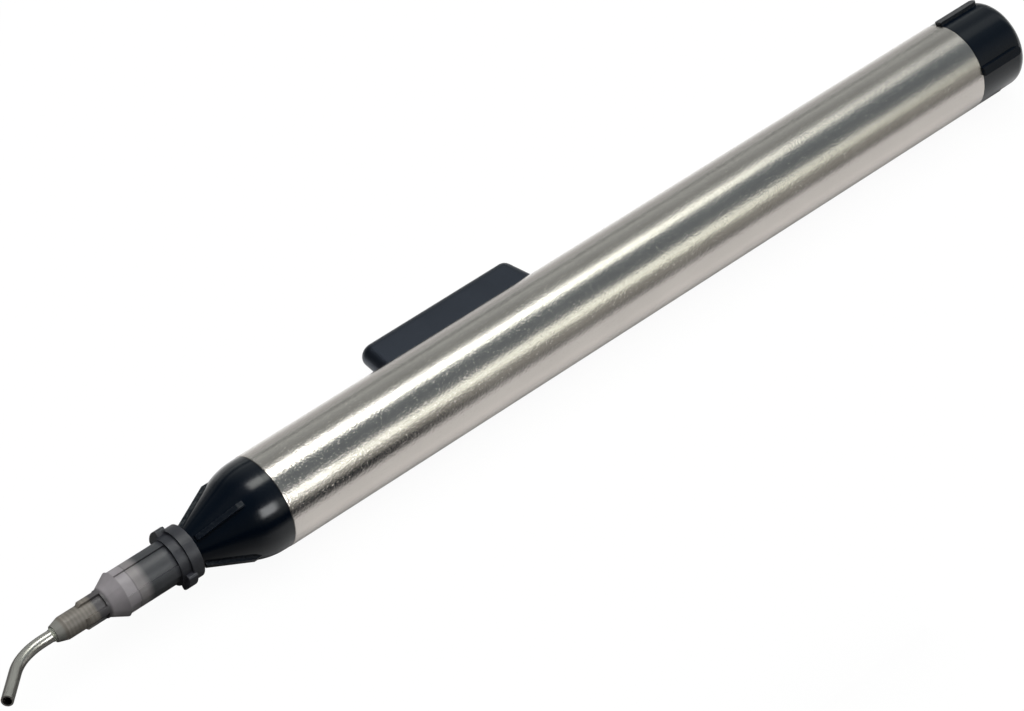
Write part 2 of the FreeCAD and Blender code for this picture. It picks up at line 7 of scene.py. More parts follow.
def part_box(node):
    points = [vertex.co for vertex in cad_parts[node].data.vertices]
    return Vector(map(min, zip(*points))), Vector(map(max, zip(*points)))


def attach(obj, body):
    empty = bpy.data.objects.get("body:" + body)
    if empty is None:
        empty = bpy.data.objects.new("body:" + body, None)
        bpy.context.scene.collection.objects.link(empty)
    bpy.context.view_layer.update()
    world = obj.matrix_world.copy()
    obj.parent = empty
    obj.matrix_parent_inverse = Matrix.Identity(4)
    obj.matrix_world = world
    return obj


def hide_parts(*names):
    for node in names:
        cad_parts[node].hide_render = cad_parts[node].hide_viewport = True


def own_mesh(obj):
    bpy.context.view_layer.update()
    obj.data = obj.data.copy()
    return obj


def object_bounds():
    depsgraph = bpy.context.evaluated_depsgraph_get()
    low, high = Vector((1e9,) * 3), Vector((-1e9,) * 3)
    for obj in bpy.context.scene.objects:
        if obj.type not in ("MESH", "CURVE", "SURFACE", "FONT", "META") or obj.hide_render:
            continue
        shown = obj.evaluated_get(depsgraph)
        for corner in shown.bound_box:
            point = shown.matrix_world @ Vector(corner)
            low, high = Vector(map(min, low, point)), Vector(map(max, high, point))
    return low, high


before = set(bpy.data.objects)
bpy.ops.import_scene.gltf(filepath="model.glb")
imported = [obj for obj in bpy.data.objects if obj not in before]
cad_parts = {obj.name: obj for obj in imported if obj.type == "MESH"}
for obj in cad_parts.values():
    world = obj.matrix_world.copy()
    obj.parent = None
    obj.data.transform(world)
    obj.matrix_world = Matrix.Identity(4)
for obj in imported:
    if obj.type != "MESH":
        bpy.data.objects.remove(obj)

# Vacuum pick up pen. The axis of the pen is the X axis, +Y is the button's side and +Z is up.
# Turns about the axis are counted from straight up towards the button's side.

bl_info = {
    "name": "Vacuum pick up pen",
    "version": (1, 0, 0),
    "blender": (4, 5, 0),
    "location": "3D View > Sidebar > Pen",
    "description": "Finishes and stage of a vacuum pick up pen",
    "category": "Object",
}

MM = 0.001
CAD_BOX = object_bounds()
HOSE_LOW, HOSE_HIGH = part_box("suction_hose")


def linear(hex_colour):
    """Turn an sRGB hex value into the linear colour that shaders read."""
    parts = [int(hex_colour[i:i + 2], 16) / 255 for i in (0, 2, 4)]
    return [c / 12.92 if c <= 0.04045 else ((c + 0.055) / 1.055) ** 2.4 for c in parts] + [1.0]


def colour_property(name, description, hex_colour):
    """Describe a colour that a user may change, from its sRGB hex value."""
    return bpy.props.FloatVectorProperty(name=name, description=description, subtype="COLOR", size=4,
                                         min=0.0, max=1.0, default=linear(hex_colour))


def length_property(name, description, millimetres):
    """Describe a length that a user may change."""
    return bpy.props.FloatProperty(name=name, description=description, default=millimetres * MM,
                                   min=0.0, unit="LENGTH", precision=5)


class PenFinishes(bpy.types.PropertyGroup):
    """Colours and grains of the pen's finishes"""

    steel: colour_property("Steel", "Bare stainless steel of the tube", "C1BBB6")
    needle_steel: colour_property("Needle steel", "Bright drawn steel of the needle", "BDBAB4")
    gloss_black: colour_property("Gloss black", "Glossy ABS of nose and cap", "030A14")
    satin_black: colour_property("Satin black", "Satin ABS of the button", "06080F")
    satin_shine: colour_property("Satin shine", "Bluish shine of the button's satin ABS", "D7E4FF")
    smoky: colour_property("Smoky plastic", "Translucent polypropylene, where the hub is solid", "9E999C")
    adhesive: colour_property("Adhesive", "Clear cured adhesive", "CDD0C4")
    natural: colour_property("Natural ABS", "Uncoloured ABS of the inner mouldings", "D8D4C6")
    silicone: colour_property("Silicone", "Translucent silicone of the hose", "D9D3C3")
    grinding_pitch: length_property("Grinding pitch", "Spacing of the grinding marks on the tube", 0.2)
    grinding_run: length_property("Grinding run", "How far a grinding mark runs round the tube", 0.8)
    mould_grain: length_property("Mould grain", "Grain of the satin moulded faces", 0.12)


class PenHose(bpy.types.PropertyGroup):
    """Sizes of the soft hose inside the tube"""

    start: bpy.props.FloatProperty(name="Start", description="Front end of the hose, from the taper's tip",
                                   default=HOSE_LOW.x, unit="LENGTH", precision=5)
    length: bpy.props.FloatProperty(name="Length", description="Length of the hose", min=0.0,
                                    default=HOSE_HIGH.x - HOSE_LOW.x, unit="LENGTH", precision=5)
    diameter: bpy.props.FloatProperty(name="Diameter", description="Outside diameter of the hose", min=0.0,
                                      default=HOSE_HIGH.z - HOSE_LOW.z, unit="LENGTH", precision=5)
    wall: length_property("Wall", "Wall of the hose", 1.0)
    held_end: length_property("Held end", "Stretch of each end that nipple or plug keeps round", 5.6)


class PenStage(bpy.types.PropertyGroup):
    """Floor and light of the stage"""

    floor_size: bpy.props.FloatProperty(name="Floor size", description="Side of the square floor",
                                        default=6.0, min=0.1, unit="LENGTH")
    floor_colour: colour_property("Floor", "Matt white table", "F6F5F4")
    room_level: bpy.props.FloatProperty(name="Room level", description="Brightness of the room's walls",
                                        default=1.0, min=0.0)
    light_level: bpy.props.FloatProperty(name="Light level", description="Brightness of the softboxes",
                                         default=1.0, min=0.0)
    fill_level: bpy.props.FloatProperty(name="Fill level", description="Brightness of the broad fill light",
                                        default=3.0, min=0.0)


# Softboxes hang parallel to the pen, on the side that their turn about its axis gives, in degrees.
# Lengths are in metres. A box reaches along X from start to end. level is the brightness of its face,
# where 1 is paper white.
SOFTBOXES = (
    {"name": "softbox_overhead", "turn": 8.8, "distance": 0.22, "width": 0.054, "start": 0.02, "end": 0.222,
     "level": 2.2, "tint": "F9FFEF"},
    {"name": "softbox_corner", "turn": 8.5, "distance": 0.23, "width": 0.08, "start": 0.02, "end": 0.152,
     "level": 2.0, "tint": "FDFFFA"},
    {"name": "softbox_front", "turn": -56.5, "distance": 0.35, "width": 0.118, "start": 0.165, "end": 0.33,
     "level": 1.5, "tint": "F9FFEF"},
    {"name": "softbox_nose_front", "turn": -56.5, "distance": 0.35, "width": 0.118, "start": -0.04,
     "end": 0.115, "level": 8.6, "tint": "FDFFFF"},
    {"name": "softbox_nose_overhead", "turn": 11.0, "distance": 0.23, "width": 0.07, "start": 0.01,
     "end": 0.10, "level": 2.6, "tint": "FFFDFF"},
)

# Walls and ceiling of the room: turn about the pen's axis in degrees, brightness and tint.
ROOM_WALLS = (
    (-95.0, 0.28, "FFFFF6"),
    (-72.0, 0.42, "FFFFF6"),
    (-42.0, 0.34, "F2FBFF"),
    (-30.0, 0.235, "E9F8FF"),
    (-20.0, 0.235, "E9F8FF"),
    (-8.0, 0.30, "E9F8FF"),
    (-2.0, 0.30, "E9F8FF"),
    (6.0, 0.80, "F9FFFD"),
    (20.0, 0.85, "F9FFFD"),
    (31.0, 0.38, "F9FFFD"),
    (42.0, 0.36, "F9FFFD"),
    (52.0, 0.52, "F9FFFD"),
    (58.0, 0.40, "F9FFFD"),
    (62.0, 0.74, "F9FFFD"),
    (66.0, 0.92, "F9FFFD"),
    (69.5, 0.10, "F9FFFD"),
    (74.0, 0.03, "F9FFFD"),
    (77.5, 0.72, "F9FFFD"),
    (81.0, 0.82, "F9FFFD"),
    (86.0, 0.52, "FCFFFE"),
    (95.0, 0.64, "FFFFFF"),
)

# The room is dim past the pen's tip: X part of the direction where it is dimmest, and where it is full.
GLOOM_SLOPES = (-0.15, 0.3)
GLOOM_LEVEL = 0.2

# The fill light is a broad square over the pen.
FILL_PLACE = (0.05, 0.0, 1.0)
FILL_SIZE = 1.2

# The camera's place, its right and its up, and its focal length in mm.
CAMERA_PLACE = Vector((-0.140159, -0.223882, 0.313694))
CAMERA_RIGHT = Vector((0.754521, -0.656276, 0.0))
CAMERA_UP = Vector((0.478129, 0.549705, 0.684994))
CAMERA_LENS = 127.09

# The edge of the white sheet in front of the pen, which lies askew, and the grey table past it, a painted
# dark reflection: only the polished pieces see the grey, the camera sees paper white.
SHEET_EDGE = -28.0 * MM
SHEET_BLUR = 6.0 * MM
SHEET_SLANT = 0.15
PAINTED_TABLE_TONE = 0.30

# Painted shade on the sheet under the tip, up to where the tube starts. Only the polished pieces see it.
FORE_START = 4.0 * MM
FORE_END = 22.0 * MM
FORE_TONE = 0.2

# How much of the floor's white is its own light. The rest is lit, and shows the pen's shadow.
WHITE_SHARE = 0.95

# A low dark card stands in front of the nose, from its low to its high corner.
CARD_CORNERS = (Vector((-0.07, -0.06, -0.006)), Vector((0.065, -0.06, 0.0116)))

# Painted shade and light on the white sheet, by its place across the pen, on Y in mm: a painted shadow
# just under the tube and painted brighter light beside it. Only the polished pieces see these tones.
PAINTED_SHEET_TONES = (
    (-40.0, 0.84),
    (-12.0, 0.84),
    (-7.0, 0.98),
    (-5.4, 1.08),
    (-4.6, 0.87),
    (-4.0, 0.58),
    (-2.5, 0.55),
    (2.0, 0.84),
    (6.0, 1.08),
    (17.0, 1.08),
    (23.0, 0.98),
    (33.0, 0.70),
    (60.0, 0.68),
    (125.0, 0.62),
)

# The nose's fins: turn of the first, half the width of the rough crest and of its fading border, middle
# and half of the reach on X, and how much rougher the eroded flats are than the polished faces.
FIN_TURN = math.radians(66.8)
FIN_CREST = 0.33 * MM
FIN_BORDER = 0.04 * MM
FIN_MIDDLE = 9.4 * MM
FIN_REACH = 3.1 * MM
ERODED_ROUGHNESS = 0.2

# The hose: sides of its round, the rounding of its cut edges, and the angle up to which it is shaded smooth.
HOSE_SIDES = 64
CUT_EDGE = 0.08 * MM
SMOOTH_ANGLE = math.radians(40)

# Most values of a noise lie between these two. A scale of 5.2 / MM draws 5.2 grains in a millimetre.
NOISE_LOW = 0.3
NOISE_HIGH = 0.7

# How far the mouldings' flow lines and the hose's draw lines are drawn out along the pen.
FLOW_STRETCH = 0.2
DRAW_STRETCH = 0.03

# Colour sockets of a Mix node. They go by number, because its float and vector sockets share their names.
COLOUR_A = 6
COLOUR_B = 7
COLOUR_OUT = 2


def deselect():
    """Leave edit mode and select nothing."""
    if bpy.context.object and bpy.context.object.mode != "OBJECT":
        bpy.ops.object.mode_set(mode="OBJECT")
    bpy.ops.object.select_all(action="DESELECT")


def settle():
    """Put the active object's place, turn and scale into its mesh."""
    bpy.ops.object.transform_apply(location=True, rotation=True, scale=True)


def add_node(tree, kind, settings=None, inputs=None):
    """Add a node, set its properties and fill its sockets with values or with other nodes' outputs."""
    node = tree.nodes.new(kind)
    for name, value in (settings or {}).items():
        setattr(node, name, value)
    for name, value in (inputs or {}).items():
        if isinstance(value, bpy.types.NodeSocket):
            tree.links.new(value, node.inputs[name])
        else:
            node.inputs[name].default_value = value
    return node


def fill_ramp(ramp, stops):
    """Set a colour ramp's stops from places between 0 and 1 and linear colours."""
    elements = ramp.color_ramp.elements
    for number, (position, colour) in enumerate(stops):
        element = elements[number] if number < 2 else elements.new(position)
        element.position = position
        element.color = [*colour, 1.0]


def new_material(name):
    """Return an empty material, its node tree and its object coordinates."""
    material = bpy.data.materials.new(name)
    material.use_nodes = True
    tree = material.node_tree
    tree.nodes.clear()
    place = add_node(tree, "ShaderNodeTexCoord")
    return material, tree, place


def finish_material(tree, shader):
    """Join the surface to the material's output."""
    add_node(tree, "ShaderNodeOutputMaterial", inputs={"Surface": shader.outputs["BSDF"]})


def dress(node_names, material):
    """Give CAD pieces a finish."""
    for name in node_names:
        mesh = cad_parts[name].data
        mesh.materials.clear()
        mesh.materials.append(material)


def per_metre(length):
    """Return how many times a length goes into a metre."""
    return 1.0 / length


def toned(colour, share):
    """Return a colour made darker or lighter."""
    return [part * share for part in colour[:3]] + [1.0]


def ground_stainless(finishes):
    """Stainless steel tube, belt ground round its girth and buffed nearly smooth.

    Short marks run round the tube and give the highlights hairy edges. Dust and small pits show as
    bright dots. Real marks are 0.03 mm apart; they are drawn coarser, so that they show.
    """
    material, tree, place = new_material("ground_stainless_tube")
    here = place.outputs["Object"]
    across = per_metre(finishes.grinding_pitch)
    along = per_metre(finishes.grinding_run)
    lanes = add_node(tree, "ShaderNodeVectorMath", {"operation": "MULTIPLY"},
                     {0: here, 1: (across, along, along)})
    marks = add_node(tree, "ShaderNodeTexNoise", inputs={
        "Vector": lanes.outputs["Vector"], "Scale": 1.0, "Detail": 3.0, "Roughness": 0.65})
    hairs = add_node(tree, "ShaderNodeVectorMath", {"operation": "MULTIPLY"},
                     {0: here, 1: (5.2 / MM, 3.2 / MM, 3.2 / MM)})
    mottle = add_node(tree, "ShaderNodeTexNoise", inputs={
        "Vector": hairs.outputs["Vector"], "Scale": 1.0, "Detail": 2.0, "Roughness": 0.6})
    smudges = add_node(tree, "ShaderNodeTexNoise", inputs={
        "Vector": here, "Scale": 0.14 / MM, "Detail": 2.0, "Roughness": 0.5})
    dust = add_node(tree, "ShaderNodeTexNoise", inputs={
        "Vector": here, "Scale": 5.2 / MM, "Detail": 1.0, "Roughness": 0.5})
    pits = add_node(tree, "ShaderNodeMapRange", inputs={
        "Value": dust.outputs["Fac"], "From Min": 0.68, "From Max": 0.78, "To Min": 0.0, "To Max": 1.0})

    grooves = add_node(tree, "ShaderNodeBump", inputs={
        "Strength": 1.0, "Distance": 0.012 * MM, "Height": marks.outputs["Fac"]})
    mottled = add_node(tree, "ShaderNodeBump", inputs={
        "Strength": 1.0, "Distance": 0.026 * MM, "Height": mottle.outputs["Fac"],
        "Normal": grooves.outputs["Normal"]})
    pitted = add_node(tree, "ShaderNodeBump", {"invert": True}, {
        "Strength": 1.0, "Distance": 0.012 * MM, "Height": pits.outputs["Result"],
        "Normal": mottled.outputs["Normal"]})

    base = add_node(tree, "ShaderNodeMix", {"data_type": "RGBA"}, {
        0: smudges.outputs["Fac"],
        COLOUR_A: toned(finishes.steel, 0.93), COLOUR_B: toned(finishes.steel, 1.07)})
    rough = add_node(tree, "ShaderNodeMapRange", inputs={
        "Value": smudges.outputs["Fac"], "From Min": NOISE_LOW, "From Max": NOISE_HIGH,
        "To Min": 0.17, "To Max": 0.20})
    steel = add_node(tree, "ShaderNodeBsdfPrincipled", inputs={
        "Base Color": base.outputs[COLOUR_OUT], "Metallic": 1.0, "Roughness": rough.outputs["Result"],
        "Normal": pitted.outputs["Normal"]})
    finish_material(tree, steel)
    return material


def drawn_stainless(finishes):
    """Stainless needle tube, drawn bright, with faint marks and a few dull patches.

    The marks of the drawing die are 0.02 mm apart; they are drawn coarser, so that they show.
    """
    material, tree, place = new_material("drawn_stainless_needle")
    here = place.outputs["Object"]
    marks = add_node(tree, "ShaderNodeTexNoise", inputs={
        "Vector": here, "Scale": 2.6 / MM, "Detail": 2.0, "Roughness": 0.5})
    patches = add_node(tree, "ShaderNodeTexNoise", inputs={
        "Vector": here, "Scale": 0.42 / MM, "Detail": 2.0, "Roughness": 0.5})
    relief = add_node(tree, "ShaderNodeBump", inputs={
        "Strength": 1.0, "Distance": 0.0015 * MM, "Height": marks.outputs["Fac"]})
    base = add_node(tree, "ShaderNodeMix", {"data_type": "RGBA"}, {
        0: patches.outputs["Fac"],
        COLOUR_A: toned(finishes.needle_steel, 0.9), COLOUR_B: finishes.needle_steel[:]})
    rough = add_node(tree, "ShaderNodeMapRange", inputs={
        "Value": patches.outputs["Fac"], "From Min": NOISE_LOW, "From Max": NOISE_HIGH,
        "To Min": 0.26, "To Max": 0.34})
    steel = add_node(tree, "ShaderNodeBsdfPrincipled", inputs={
        "Base Color": base.outputs[COLOUR_OUT], "Metallic": 1.0, "Roughness": rough.outputs["Result"],
        "Normal": relief.outputs["Normal"]})
    finish_material(tree, steel)
    return material


def gloss_abs(finishes):
    """Black ABS from a polished mould. The nose's fins have spark-eroded flats in a polished border.

    The eroded grain is 0.05 mm wide; it is drawn coarser, so that it shows. The polished faces only have
    the slow waves of the flow, and dust.
    """
    material, tree, place = new_material("gloss_black_abs")
    here = place.outputs["Object"]
    peel = add_node(tree, "ShaderNodeTexNoise", inputs={
        "Vector": here, "Scale": 0.7 / MM, "Detail": 2.0, "Roughness": 0.5})
    dust = add_node(tree, "ShaderNodeTexNoise", inputs={
        "Vector": here, "Scale": 4.2 / MM, "Detail": 2.0, "Roughness": 0.5})
    sparks = add_node(tree, "ShaderNodeTexNoise", inputs={
        "Vector": here, "Scale": 3.6 / MM, "Detail": 1.0, "Roughness": 0.5})

    # A fin's side is where the surface faces along the girth of the pen.
    girth = add_node(tree, "ShaderNodeVectorMath", {"operation": "CROSS_PRODUCT"},
                     {0: (1.0, 0.0, 0.0), 1: here})
    unit = add_node(tree, "ShaderNodeVectorMath", {"operation": "NORMALIZE"}, {0: girth.outputs["Vector"]})
    facing = add_node(tree, "ShaderNodeVectorMath", {"operation": "DOT_PRODUCT"},
                      {0: unit.outputs["Vector"], 1: place.outputs["Normal"]})
    sideways = add_node(tree, "ShaderNodeMath", {"operation": "ABSOLUTE"}, {0: facing.outputs["Value"]})
    flats = add_node(tree, "ShaderNodeMapRange", inputs={
        "Value": sideways.outputs["Value"], "From Min": 0.6, "From Max": 0.8, "To Min": 0.0, "To Max": 1.0})

    # A fin's crest is near one of the two planes that the four fins share.
    gaps = []
    planes = ((0.0, math.cos(FIN_TURN), -math.sin(FIN_TURN)), (0.0, math.sin(FIN_TURN), math.cos(FIN_TURN)))
    for normal in planes:
        away = add_node(tree, "ShaderNodeVectorMath", {"operation": "DOT_PRODUCT"}, {0: here, 1: normal})
        gaps.append(add_node(tree, "ShaderNodeMath", {"operation": "ABSOLUTE"}, {0: away.outputs["Value"]}))
    nearest = add_node(tree, "ShaderNodeMath", {"operation": "MINIMUM"}, {
        0: gaps[0].outputs["Value"], 1: gaps[1].outputs["Value"]})
    crest = add_node(tree, "ShaderNodeMapRange", {"interpolation_type": "SMOOTHSTEP"}, {
        "Value": nearest.outputs["Value"], "From Min": FIN_CREST - FIN_BORDER, "From Max": FIN_CREST,
        "To Min": 1.0, "To Max": 0.0})
    parts = add_node(tree, "ShaderNodeSeparateXYZ", inputs={"Vector": here})
    reach = add_node(tree, "ShaderNodeMath", {"operation": "COMPARE"}, {
        0: parts.outputs["X"], 1: FIN_MIDDLE, 2: FIN_REACH})
    crests = add_node(tree, "ShaderNodeMath", {"operation": "MULTIPLY"}, {
        0: crest.outputs["Result"], 1: reach.outputs["Value"]})
    rough_faces = add_node(tree, "ShaderNodeMath", {"operation": "MAXIMUM"}, {
        0: flats.outputs["Result"], 1: crests.outputs["Value"]})
    grains = add_node(tree, "ShaderNodeMath", {"operation": "MULTIPLY"}, {
        0: sparks.outputs["Fac"], 1: rough_faces.outputs["Value"]})

    smooth = add_node(tree, "ShaderNodeBump", inputs={
        "Strength": 1.0, "Distance": 0.004 * MM, "Height": peel.outputs["Fac"]})
    eroded = add_node(tree, "ShaderNodeBump", inputs={
        "Strength": 1.0, "Distance": 0.08 * MM, "Height": grains.outputs["Value"],
        "Normal": smooth.outputs["Normal"]})
    polish = add_node(tree, "ShaderNodeMapRange", inputs={
        "Value": dust.outputs["Fac"], "From Min": 0.4, "From Max": 0.75, "To Min": 0.16, "To Max": 0.21})
    rough = add_node(tree, "ShaderNodeMath", {"operation": "MULTIPLY_ADD"}, {
        0: rough_faces.outputs["Value"], 1: ERODED_ROUGHNESS, 2: polish.outputs["Result"]})
    abs_plastic = add_node(tree, "ShaderNodeBsdfPrincipled", inputs={
        "Base Color": finishes.gloss_black[:], "Roughness": rough.outputs["Value"], "IOR": 1.38,
        "Normal": eroded.outputs["Normal"]})
    finish_material(tree, abs_plastic)
    return material


def satin_abs(finishes):
    """Blue-black ABS from a bead-blasted mould, rubbed a little smoother by handling.

    The beads leave dimples of 0.12 mm, which spread the light of the room over the whole face.
    """
    material, tree, place = new_material("satin_black_abs")
    here = place.outputs["Object"]
    grain = add_node(tree, "ShaderNodeTexNoise", inputs={
        "Vector": here, "Scale": per_metre(finishes.mould_grain), "Detail": 2.0, "Roughness": 0.6})
    handling = add_node(tree, "ShaderNodeTexNoise", inputs={
        "Vector": here, "Scale": 0.24 / MM, "Detail": 2.0, "Roughness": 0.5})
    relief = add_node(tree, "ShaderNodeBump", inputs={
        "Strength": 1.0, "Distance": 0.008 * MM, "Height": grain.outputs["Fac"]})
    tone = add_node(tree, "ShaderNodeMix", {"data_type": "RGBA"}, {
        0: handling.outputs["Fac"],
        COLOUR_A: toned(finishes.satin_black, 0.8), COLOUR_B: finishes.satin_black[:]})
    rough = add_node(tree, "ShaderNodeMapRange", inputs={
        "Value": handling.outputs["Fac"], "From Min": NOISE_LOW, "From Max": NOISE_HIGH,
        "To Min": 0.36, "To Max": 0.46})
    plastic = add_node(tree, "ShaderNodeBsdfPrincipled", inputs={
        "Base Color": tone.outputs[COLOUR_OUT], "Roughness": rough.outputs["Result"], "IOR": 1.64,
        "Specular Tint": finishes.satin_shine[:], "Normal": relief.outputs["Normal"]})
    finish_material(tree, plastic)
    return material


# What shows through the smoky hub, stretch by stretch on X in mm: the share of its solid tone that is left.
HUB_STRETCHES = (
    {"name": "front_cone", "from": -12.9, "to": -12.1, "left": (0.72, 0.76, 0.66)},
    {"name": "stem_on_needle", "from": -11.9, "to": -7.8, "left": (0.59, 0.57, 0.47)},
    {"name": "stem_well", "from": -7.5, "to": -6.2, "left": (0.25, 0.25, 0.25)},
    {"name": "solid_shoulder", "from": -5.9, "to": -2.8, "left": (1.0, 1.0, 1.0)},
    {"name": "empty_socket", "from": -2.5, "to": -1.65, "left": (0.80, 0.80, 0.77)},
    {"name": "socket_on_taper", "from": -0.75, "to": 2.3, "left": (0.17, 0.19, 0.20)},
    {"name": "collar_and_flange", "from": 2.6, "to": 5.7, "left": (0.08, 0.09, 0.11)},
)
HUB_START = HUB_STRETCHES[0]["from"]
HUB_END = HUB_STRETCHES[-1]["to"]

# Rings of the core pin on the stem, and the socket's end face, which shows as a thin dark line.
RING_PITCH = 0.49 * MM
STEM_MIDDLE = -9.85 * MM
STEM_REACH = 2.05 * MM
RING_CONTRAST = 0.16
SOCKET_END = -2.65 * MM
SOCKET_LINE = 0.09 * MM
SOCKET_SHADE = 0.35


def smoky_polypropylene(finishes):
    """Smoky translucent polypropylene, moulded, and cloudy inside.

    The nose's taper and the needle show through it, so its tone changes along the hub. The clouds are
    1.6 mm across. The mould's grain of 0.05 mm is drawn coarser, so that it shows.
    """
    material, tree, place = new_material("smoky_polypropylene")
    here = place.outputs["Object"]
    cloud = add_node(tree, "ShaderNodeTexNoise", inputs={
        "Vector": here, "Scale": 0.62 / MM, "Detail": 2.0, "Roughness": 0.5})
    grain = add_node(tree, "ShaderNodeTexNoise", inputs={
        "Vector": here, "Scale": 3.6 / MM, "Detail": 2.0, "Roughness": 0.5})
    relief = add_node(tree, "ShaderNodeBump", inputs={
        "Strength": 1.0, "Distance": 0.006 * MM, "Height": grain.outputs["Fac"]})

    parts = add_node(tree, "ShaderNodeSeparateXYZ", inputs={"Vector": here})
    share = add_node(tree, "ShaderNodeMapRange", inputs={
        "Value": parts.outputs["X"], "From Min": HUB_START * MM, "From Max": HUB_END * MM,
        "To Min": 0.0, "To Max": 1.0})
    depth = add_node(tree, "ShaderNodeValToRGB", inputs={"Fac": share.outputs["Result"]})
    fill_ramp(depth, [((stretch[end] - HUB_START) / (HUB_END - HUB_START), stretch["left"])
                      for stretch in HUB_STRETCHES for end in ("from", "to")])

    rings = add_node(tree, "ShaderNodeMath", {"operation": "PINGPONG"}, {
        0: parts.outputs["X"], 1: RING_PITCH / 2})
    in_stem = add_node(tree, "ShaderNodeMath", {"operation": "COMPARE"}, {
        0: parts.outputs["X"], 1: STEM_MIDDLE, 2: STEM_REACH})
    bright = add_node(tree, "ShaderNodeMapRange", inputs={
        "Value": rings.outputs["Value"], "From Min": 0.0, "From Max": RING_PITCH / 2,
        "To Min": 1.0 - RING_CONTRAST, "To Max": 1.0 + RING_CONTRAST})
    ringed = add_node(tree, "ShaderNodeMix", {"data_type": "FLOAT"}, {
        0: in_stem.outputs["Value"], 2: 1.0, 3: bright.outputs["Result"]})
    end_line = add_node(tree, "ShaderNodeMath", {"operation": "COMPARE"}, {
        0: parts.outputs["X"], 1: SOCKET_END, 2: SOCKET_LINE})
    lined = add_node(tree, "ShaderNodeMath", {"operation": "MULTIPLY_ADD"}, {
        0: end_line.outputs["Value"], 1: -SOCKET_SHADE, 2: ringed.outputs[0]})
    cloudy = add_node(tree, "ShaderNodeMapRange", inputs={
        "Value": cloud.outputs["Fac"], "From Min": NOISE_LOW, "From Max": NOISE_HIGH,
        "To Min": 0.9, "To Max": 1.1})
    level = add_node(tree, "ShaderNodeMath", {"operation": "MULTIPLY"}, {
        0: lined.outputs["Value"], 1: cloudy.outputs["Result"]})
    through = add_node(tree, "ShaderNodeVectorMath", {"operation": "MULTIPLY"}, {
        0: depth.outputs["Color"], 1: finishes.smoky[:3]})
    tone = add_node(tree, "ShaderNodeVectorMath", {"operation": "SCALE"}, {
        0: through.outputs["Vector"], "Scale": level.outputs["Value"]})
    rough = add_node(tree, "ShaderNodeMapRange", inputs={
        "Value": cloud.outputs["Fac"], "From Min": NOISE_LOW, "From Max": NOISE_HIGH,
        "To Min": 0.40, "To Max": 0.50})
    plastic = add_node(tree, "ShaderNodeBsdfPrincipled", inputs={
        "Base Color": tone.outputs["Vector"], "Roughness": rough.outputs["Result"],
        "IOR": 1.42, "Transmission Weight": 0.3, "Normal": relief.outputs["Normal"]})
    finish_material(tree, plastic)
    return material


def cured_adhesive(finishes):
    """Clear cured adhesive with a wet skin, which rises and falls every 0.7 mm."""
    material, tree, place = new_material("clear_cured_adhesive")
    here = place.outputs["Object"]
    skin = add_node(tree, "ShaderNodeTexNoise", inputs={
        "Vector": here, "Scale": 1.5 / MM, "Detail": 2.0, "Roughness": 0.5})
    relief = add_node(tree, "ShaderNodeBump", inputs={
        "Strength": 1.0, "Distance": 0.03 * MM, "Height": skin.outputs["Fac"]})
    tone = add_node(tree, "ShaderNodeMix", {"data_type": "RGBA"}, {
        0: skin.outputs["Fac"],
        COLOUR_A: toned(finishes.adhesive, 0.85), COLOUR_B: finishes.adhesive[:]})
    resin = add_node(tree, "ShaderNodeBsdfPrincipled", inputs={
        "Base Color": tone.outputs[COLOUR_OUT], "Roughness": 0.12, "IOR": 1.5, "Transmission Weight": 0.7,
        "Normal": relief.outputs["Normal"]})
    finish_material(tree, resin)
    return material


def natural_abs(finishes):
    """Uncoloured ABS of the inner mouldings, matt, with flow lines 2 mm wide and 10 mm long.

    The mould's grain of 0.05 mm is drawn coarser, so that it shows.
    """
    material, tree, place = new_material("natural_abs_moulding")
    here = place.outputs["Object"]
    runs = add_node(tree, "ShaderNodeVectorMath", {"operation": "MULTIPLY"}, {
        0: here, 1: (FLOW_STRETCH, 1.0, 1.0)})
    flow = add_node(tree, "ShaderNodeTexNoise", inputs={
        "Vector": runs.outputs["Vector"], "Scale": 0.5 / MM, "Detail": 3.0, "Roughness": 0.5})
    grain = add_node(tree, "ShaderNodeTexNoise", inputs={
        "Vector": here, "Scale": 4.0 / MM, "Detail": 2.0, "Roughness": 0.5})
    relief = add_node(tree, "ShaderNodeBump", inputs={
        "Strength": 1.0, "Distance": 0.008 * MM, "Height": grain.outputs["Fac"]})
    tone = add_node(tree, "ShaderNodeMix", {"data_type": "RGBA"}, {
        0: flow.outputs["Fac"],
        COLOUR_A: toned(finishes.natural, 0.88), COLOUR_B: finishes.natural[:]})
    rough = add_node(tree, "ShaderNodeMapRange", inputs={
        "Value": flow.outputs["Fac"], "From Min": NOISE_LOW, "From Max": NOISE_HIGH,
        "To Min": 0.5, "To Max": 0.6})
    plastic = add_node(tree, "ShaderNodeBsdfPrincipled", inputs={
        "Base Color": tone.outputs[COLOUR_OUT], "Roughness": rough.outputs["Result"],
        "IOR": 1.54, "Normal": relief.outputs["Normal"]})
    finish_material(tree, plastic)
    return material


